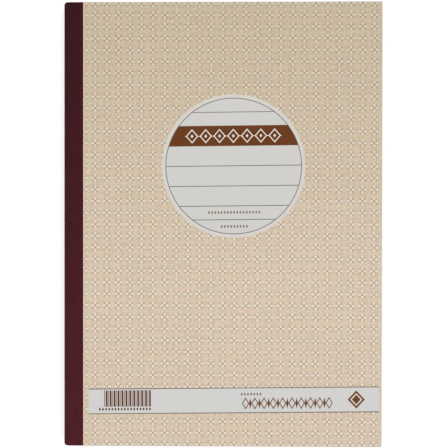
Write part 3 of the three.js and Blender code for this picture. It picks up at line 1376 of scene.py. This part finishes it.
@dataclass
class Perforation:
    """The line of cuts that parts each leaf from its stub.

    Its cuts are 2 mm from one to the next, a little coarser than real ones, so that they show.
    """

    at: Levels
    reach: float
    cut: float = 1.3
    tie: float = 0.7
    half_width: float = 0.12
    clear: float = 0.02

    def middles(self) -> np.ndarray:
        """The middle of every cut in y, evenly from tail to head.

        Returns:
            The middles.
        """
        pitch = self.cut + self.tie
        count = int(2 * self.reach // pitch) - 1
        return (np.arange(count) - (count - 1) / 2) * pitch

    def columns(self) -> np.ndarray:
        """The two sides of the cuts in x."""
        return np.array([self.at.crease - self.half_width, self.at.crease + self.half_width])

    def among(self, xs: np.ndarray) -> np.ndarray:
        """Columns with the cuts' two sides in place of those that lie between them or too near."""
        return merged(xs[np.abs(xs - self.at.crease) > self.half_width + self.clear], self.columns())

    def rows(self) -> np.ndarray:
        """Both ends of every cut in y."""
        return np.concatenate([self.middles() - self.cut / 2, self.middles() + self.cut / 2])

    def keep(self, xs: np.ndarray, ys: np.ndarray) -> np.ndarray:
        """Which cells of a grid are paper: all but those that lie in a cut.

        Args:
            xs: the grid's columns.
            ys: the grid's rows.

        Returns:
            True for paper, for each cell.
        """
        x, y = (xs[1:] + xs[:-1]) / 2, (ys[1:] + ys[:-1]) / 2
        across = np.abs(x - self.at.crease) < self.half_width
        along = np.abs(y[:, None] - self.middles()).min(1) < self.cut / 2
        return ~(across[:, None] & along)


@dataclass
class Leaf(TurningSheet):
    """A leaf of the first set with its stub, which turns at its perforation."""

    ply: Ply = Ply.ORIGINAL
    papers: list[Material] = field(default_factory=list)
    radius: float = PAPER_CORNER
    fine: float = 0.24
    coarse: float = 16.0

    def build(self) -> Piece:
        """Make the leaf, which lies level in the binding and climbs past the tape on to the shield.

        Returns:
            The leaf.
        """
        name = self.ply.value
        leaf_node, stub_node = f"set_01_{name}_leaf", f"set_01_{name}_stub"
        stub, leaf = millimetres(stub_node), millimetres(leaf_node)
        holes = Perforation(self.at, stub[1][1])
        xs = holes.among(self.columns(stub[0][0], leaf[1][0]))
        ys = corner_rows(stub[1][1], self.radius, holes.rows())
        lower = self.climb(xs, stub[0][2], leaf[0][2])
        places, keep = plan(xs, ys, self.radius), holes.keep(xs, ys)
        sheet = Sheet.level(places, lower, lower + PAPER, keep=keep, slots=(0, 1, 1))
        made = make_piece(f"first_set_{name}", [sheet], self.papers)
        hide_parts(leaf_node, stub_node)
        self.hang(made, f"{name}_leaf", leaf[0][2])
        return made


@dataclass
class Pad:
    """The sets below the first: every leaf is drawn, in place of the blocks that stand for them.

    Leaves lie a pitch apart, and jogs are the most that a set or a leaf stands back. No cut is drawn
    within uncut_end of a leaf's head or tail.
    """

    at: Levels
    papers: dict[Ply, list[Material]]
    pitch: float = 0.08
    set_jog: float = 0.3
    leaf_jog: float = 0.12
    row_pitch: float = 60.0
    uncut_end: float = 0.2
    random: np.random.Generator = field(default_factory=lambda: np.random.default_rng(SEED))

    def build(self, node: str) -> Piece:
        """Make the leaves that one block stands for.

        Leaves lie a pitch apart, the colours in turn. Each is jogged a little from the block's edges,
        sets more than the leaves in them, so that the edges of the pad look stacked and not sawn.

        Args:
            node: the CAD block.

        Returns:
            The leaves, as one piece.
        """
        low, high = millimetres(node)
        count = round((high[2] - low[2] + self.pitch - PAPER) / self.pitch)
        upwards = (Ply.TRIPLICATE, Ply.DUPLICATE, Ply.ORIGINAL)
        sheets = []
        for i in range(count):
            ply = i % len(upwards)
            if ply == 0:
                jog = self.random.uniform(0.0, self.set_jog, 2)
            inset = jog + self.random.uniform(0.0, self.leaf_jog, 2)
            leaf = self.leaf(low, high, low[2] + i * self.pitch, inset, i == count - 1)
            sheets.append(replace(leaf, slots=(2 * ply, 2 * ply + 1, 2 * ply + 1)))
        made = make_piece(node + "_leaves", sheets, [paper for ply in upwards for paper in self.papers[ply]])
        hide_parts(node)
        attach(made, "binding")
        return made

    def leaf(self, low: np.ndarray, high: np.ndarray, level: float, inset: np.ndarray, top: bool) -> Sheet:
        """Make one leaf of a block.

        Args:
            low: the block's lowest corner.
            high: the block's highest corner.
            level: the leaf's level.
            inset: how far it stands back at the fore-edge, and at head and tail.
            top: whether it is the uppermost leaf, which can be seen, so that its cuts are drawn.

        Returns:
            The leaf.
        """
        right, reach = high[0] - inset[0], high[1] - inset[1]
        holes, keep = Perforation(self.at, high[1]), None
        middle = (self.at.crease + self.at.fore) / 2
        xs = np.array([low[0], low[0] + CORNER_REACH * PAPER_CORNER, *holes.columns(), middle, right])
        ys = corner_rows(reach, PAPER_CORNER, steps(-reach, reach, pitch=self.row_pitch))
        if top:
            cuts = holes.rows()
            ys = merged(ys, cuts[np.abs(cuts) < reach - self.uncut_end])
            keep = holes.keep(xs, ys)
        return Sheet.level(plan(xs, ys, PAPER_CORNER), level, level + PAPER, keep=keep)


@dataclass
class WritingShield:
    """The loose card that keeps writing off the sets below."""

    corner: float = 4.0
    column_pitch: float = 4.0
    row_pitch: float = 12.0

    def build(self) -> Piece:
        """Make the card with its four rounded corners.

        Returns:
            The card.
        """
        low, high = millimetres("writing_shield")
        reach = CORNER_REACH * self.corner
        xs = steps(low[0], low[0] + reach, high[0] - reach, high[0], pitch=self.column_pitch)
        ys = corner_rows(high[1], self.corner, steps(low[1], high[1], pitch=self.row_pitch))
        sheet = Sheet.level(plan(xs, ys, self.corner, self.corner), low[2], high[2])
        card = make_piece("writing_shield_card", [sheet], [PulpBoard().material()])
        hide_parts("writing_shield")
        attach(card, "writing_shield")
        return card


@dataclass
class SpineTape:
    """The cloth tape: glued on the back cover, round the spine and on the front cover.

    The folds are radii of its outer face. The crown is the part of a staple that lies under the cloth:
    it lifts the cloth over its length and, with a soft flank, over crown_width on both sides of the wire.
    """

    at: Levels
    thickness: float = 0.2
    corner: float = 2.0
    front_fold: float = 0.8
    back_fold: float = 0.78
    crown_length: float = 13.0
    crown_width: float = 0.55
    crown_lift: float = 0.07
    upright: float = 0.9
    fold_points: int = 9
    flange_pitch: float = 0.45
    spine_pitch: float = 0.9
    row_pitch: float = 1.5

    def section(self, width: float, height: float) -> tuple[np.ndarray, np.ndarray]:
        """The tape's outer face across the spine, from the back cover's flange to the front's.

        Two level runs and an upright one are joined by quarter circles with the folds' radii. The
        normals point out of the book.

        Args:
            width: from the spine to the tape's edge.
            height: from the underside to the tape's top.

        Returns:
            Points as x and z from the spine's face and the underside, and the normals there.
        """
        turn = np.linspace(0, math.pi / 2, self.fold_points)[1:-1]
        sine, cosine, back, front = np.sin(turn), np.cos(turn), self.back_fold, self.front_fold
        runs = (
            (steps(back, width, pitch=self.flange_pitch)[::-1], 0.0, 0.0, -1.0),
            (back * (1 - sine), back * (1 - cosine), -sine, -cosine),
            (0.0, steps(back, height - front, pitch=self.spine_pitch), -1.0, 0.0),
            (front * (1 - cosine), height - front * (1 - sine), -cosine, sine),
            (steps(front, width, pitch=self.flange_pitch), height, 0.0, 1.0),
        )
        whole = np.concatenate([np.column_stack(np.broadcast_arrays(*run)) for run in runs])
        return whole[:, :2], whole[:, 2:]

    def build(self) -> Piece:
        """Make the tape from its section, carried from the tail to the head.

        Near both ends the section gives way to the rounded corner, fully at the spine and not at all
        at the tape's edges. A soft ridge lifts the cloth over each staple's crown, where its normal is
        near enough to upright that it lies on the front cover.

        Returns:
            The tape.
        """
        low, high = millimetres("spine_tape")
        width = high[0] - low[0]
        points, normals = self.section(width, high[2])
        ys = corner_rows(high[1], self.corner, steps(low[1], high[1], pitch=self.row_pitch))
        back = setback(high[1] - np.abs(ys), self.corner)
        x = low[0] + points[:, :1] + back * (1 - points[:, :1] / width)
        y, z = np.broadcast_to(ys, x.shape), np.broadcast_to(points[:, 1:], x.shape)
        upper = np.dstack([x, y, z])
        lower = upper - np.insert(normals, 1, 0.0, axis=1)[:, None] * self.thickness
        upper[..., 2] += self.crown_ridge(x, y) * (normals[:, 1:] > self.upright)
        run = np.concatenate([[0], np.cumsum(np.hypot(*np.diff(points, axis=0).T))])
        flat = np.dstack([np.broadcast_to(run[:, None], x.shape), y])
        cloth = BookCloth(cut=float(run[-1])).material()
        tape = make_piece("spine_cloth_tape", [Sheet(upper, lower, flat)], [cloth])
        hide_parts("spine_tape")
        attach(tape, "binding")
        return tape

    def crown_ridge(self, x: np.ndarray, y: np.ndarray) -> np.ndarray:
        """How far the staples' crowns lift the cloth.

        It is the lift times exp(-u^2) across the wire and exp(-v^8) along it, where u and v are the
        distances from the crown's middle over its half sizes.

        Args:
            x: x of each point.
            y: y of each point.

        Returns:
            The lift at each point.
        """
        lift = np.zeros_like(x)
        for name in ("head", "middle", "tail"):
            middle = millimetres("staple_" + name).mean(0)
            u, v = (x - middle[0]) / self.crown_width, (y - middle[1]) / (self.crown_length / 2)
            lift += self.crown_lift * np.exp(-(u**2) - v**8)
        return lift


@dataclass
class Staples:
    """The three wire staples, which keep their CAD shapes."""

    def build(self) -> Iterator[Piece]:
        """Dress each staple in wire.

        Returns:
            The staples in turn.
        """
        wire = StitchingWire().material()
        for name in sorted(n for n in frame["nodes"] if n.startswith("staple_")):
            staple = frame["nodes"][name]
            staple.data.materials.clear()
            staple.data.materials.append(wire)
            yield staple


@dataclass
class ManifoldBook:
    """The whole book."""

    at: Levels

    def pieces(self) -> Iterator[Piece]:
        """Build the covers, the leaves, the shield, the tape and the staples.

        Returns:
            Each piece as it is made.
        """
        raw = RawCard().material()
        for side in Side:
            yield Cover(self.at, side=side, raw=raw).build()
        papers = {p: [CarbonlessPaper(p, self.at, form).material() for form in (True, False)] for p in Ply}
        for ply in Ply:
            yield Leaf(self.at, ply=ply, papers=papers[ply]).build()
        pad = Pad(self.at, papers)
        for node in sorted(frame["nodes"]):
            if node.startswith("set") and not node.startswith("set_01"):
                yield pad.build(node)
        yield WritingShield().build()
        yield SpineTape(self.at).build()
        yield from Staples().build()


@dataclass
class Studio:
    """A pale ground, a wide soft lamp and a long lens straight above the book."""

    at: Levels
    picture: int = 448
    mm_per_pixel: float = 0.668
    lens: float = 100.0
    sensor: float = 36.0
    lean: Span = (0.0204, 0.0098)
    roll_degrees: float = 0.07
    aim: Span = (0.87, 0.28)
    ground_drop: float = 0.95
    ground_half: float = 2500.0
    ground_tone: Span = (0.77, 0.79)
    ground_clouds: float = 3.0
    ground_glow: Ramp = (0.45, 1.45, 0.42, 0.66)
    slab: float = 1.0
    stand_inset: float = 10.0
    stand_gap: float = 0.01
    sky: float = 0.5
    lamp_place: tuple[float, float, float] = (0.0, 0.1, 1.35)
    lamp_size: float = 1.6
    lamp_watts: float = 12.6

    def build(self) -> None:
        """Set the ground, the sky, the lamp and the camera."""
        self.ground()
        self.world()
        self.lamp()
        self.camera()
        bpy.context.scene.view_settings.view_transform = "Standard"

    def seen(self, tree: Tree) -> Socket:
        """Where the eye sees a surface, by itself, in a reflection or through glass.

        Args:
            tree: the node tree.

        Returns:
            1 for such rays and 0 for the rays that light the book.
        """
        path = add_node(tree, "LightPath", {}).node.outputs
        either = {0: path["Is Camera Ray"], 1: path["Is Glossy Ray"]}
        either = {0: add_node(tree, "Math", either, operation="MAXIMUM"), 1: path["Is Transmission Ray"]}
        return add_node(tree, "Math", either, operation="MAXIMUM")

    def ground(self) -> None:
        """A wide plane, and a low stand under the book that reaches up to its underside.

        The plane lies just below the frame's level, so that an opened back cover has room on it. Where
        it is seen it glows more away from the book, so that it meets the sky without an edge.
        """
        material = bpy.data.materials.new("white_paper_ground")
        tree = empty_tree(material)
        place = add_node(tree, "TexCoord", {}, out="Object")
        clouds = add_node(tree, "TexNoise", {"Vector": place, "Scale": self.ground_clouds, "Detail": 1.0})
        paper = add_node(tree, "MapRange", {0: clouds, **ends((0.0, 1.0, *self.ground_tone))})
        diffuse = add_node(tree, "BsdfDiffuse", {0: paper})
        away = add_node(tree, "VectorMath", {0: place}, out=1, operation="LENGTH")
        glow = add_node(tree, "MapRange", {0: away, **ends(self.ground_glow)})
        glow = add_node(tree, "Math", {0: self.seen(tree), 1: glow}, operation="MULTIPLY")
        light = add_node(tree, "Emission", {0: "#FFFFFF", 1: glow})
        add_node(tree, "OutputMaterial", {0: add_node(tree, "AddShader", {0: diffuse, 1: light})})
        half, inset, floor, at = self.ground_half, self.stand_inset, -self.ground_drop, self.at
        slabs = (
            ("ground", (-half, half), half, floor - self.slab, floor),
            ("stand", (at.crease + inset, at.fore - inset), at.head - inset, floor, -self.stand_gap),
        )
        for name, xs, reach, low, high in slabs:
            sheet = Sheet.level(plan(np.array(xs), np.array([-reach, reach]), 0), low, high)
            make_piece(name, [sheet], [material])

    def world(self) -> None:
        """An even sky: white where it is seen, and dimmer as a light."""
        world = bpy.data.worlds.new("pale_studio")
        bpy.context.scene.world = world
        tree = empty_tree(world)
        strength = add_node(tree, "MapRange", {0: self.seen(tree), **ends((0.0, 1.0, self.sky, 1.0))})
        add_node(tree, "OutputWorld", {0: add_node(tree, "Background", {0: "#FFFFFF", 1: strength})})

    def lamp(self) -> None:
        """Hang a square lamp that looks at the book and isn't seen itself."""
        data = bpy.data.lights.new("overhead_softbox", "AREA")
        data.shape, data.size, data.energy = "SQUARE", self.lamp_size, self.lamp_watts
        lamp = bpy.data.objects.new("overhead_softbox", data)
        lamp.location = self.lamp_place
        lamp.rotation_mode = "QUATERNION"
        lamp.rotation_quaternion = (-Vector(self.lamp_place)).to_track_quat("-Z", "Y")
        lamp.visible_camera = False
        bpy.context.scene.collection.objects.link(lamp)

    def camera(self) -> None:
        """Hang the camera above the book's middle, leaning a little to the fore-edge and the head.

        Its height above the cover is the width that the picture shows there, times lens over sensor.
        """
        top = millimetres("front_cover")[1][2] * MM
        data = bpy.data.cameras.new("camera")
        data.lens, data.sensor_width = self.lens, self.sensor
        camera = bpy.data.objects.new("camera", data)
        distance = self.picture * self.mm_per_pixel * MM * self.lens / self.sensor
        back = Vector((*self.lean, 1.0)).normalized()
        camera.location = Vector((self.aim[0] * MM, self.aim[1] * MM, top)) + back * distance
        camera.rotation_mode = "QUATERNION"
        right = Vector((0, 1, 0)).cross(back).normalized()
        upright = Matrix((right, back.cross(right), back)).transposed().to_quaternion()
        camera.rotation_quaternion = upright @ Quaternion((0, 0, 1), math.radians(self.roll_degrees))
        bpy.context.scene.collection.objects.link(camera)
        bpy.context.scene.camera = camera


def main() -> None:
    """Build the book and its studio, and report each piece."""
    logging.basicConfig(level=logging.INFO, format="%(name)s %(message)s")
    at = Levels.measured()
    for piece in ManifoldBook(at).pieces():
        log.info("%s: %d faces", piece.name, len(piece.data.polygons))
    Studio(at).build()


if __name__ == "__main__":
    main()
